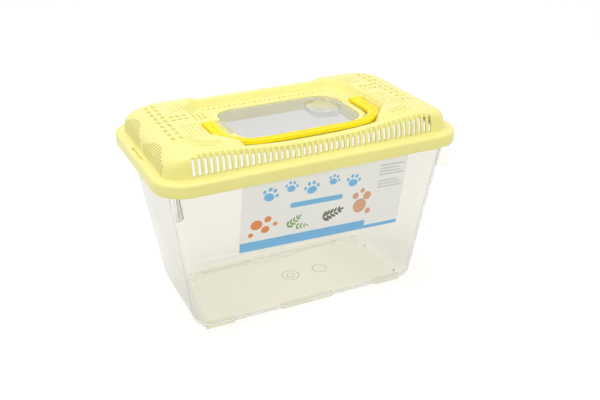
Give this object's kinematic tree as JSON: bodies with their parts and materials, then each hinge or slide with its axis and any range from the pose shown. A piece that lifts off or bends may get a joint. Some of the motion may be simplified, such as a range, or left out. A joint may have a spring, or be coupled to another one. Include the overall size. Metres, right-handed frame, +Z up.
{
  "type": "pet keeper",
  "caption": "Clear tapered plastic tank with a pale yellow ventilated lid, a clear hinged hatch and a folding yellow handle.",
  "frame": {"origin": "middle of the part's box in plan, at the level that its feet stand on", "axes": "+X along the length, +Y towards the back, +Z up"},
  "size_m": [0.236, 0.138, 0.1517],
  "materials": {
    "clear_plastic": "clear moulded polystyrene, glossy",
    "label_print": "printed film",
    "pale_yellow_plastic": "moulded, satin",
    "hatch_plastic": "clear moulded polystyrene, glossy",
    "bright_yellow_plastic": "moulded, satin"
  },
  "bodies": {
    "tank": {"tank": "clear_plastic", "label": "label_print"},
    "lid": {"lid": "pale_yellow_plastic"},
    "hatch": {"hatch": "hatch_plastic"},
    "handle": {"handle": "bright_yellow_plastic"}
  },
  "joints": [
    {"name": "lid_lift", "type": "slide", "parent": "tank", "child": "lid", "axis": [0, 0, 1], "range_m": [0, 0.06]},
    {"name": "hatch_hinge", "type": "hinge", "parent": "lid", "child": "hatch", "pos_m": [-0.0525, -0.0105, 0.1461], "axis": [0, -1, 0], "range_deg": [0, 100]},
    {"name": "handle_pivot", "type": "hinge", "parent": "lid", "child": "handle", "pos_m": [0, 0, 0.1475], "axis": [-1, 0, 0], "range_deg": [0, 174]}
  ]
}
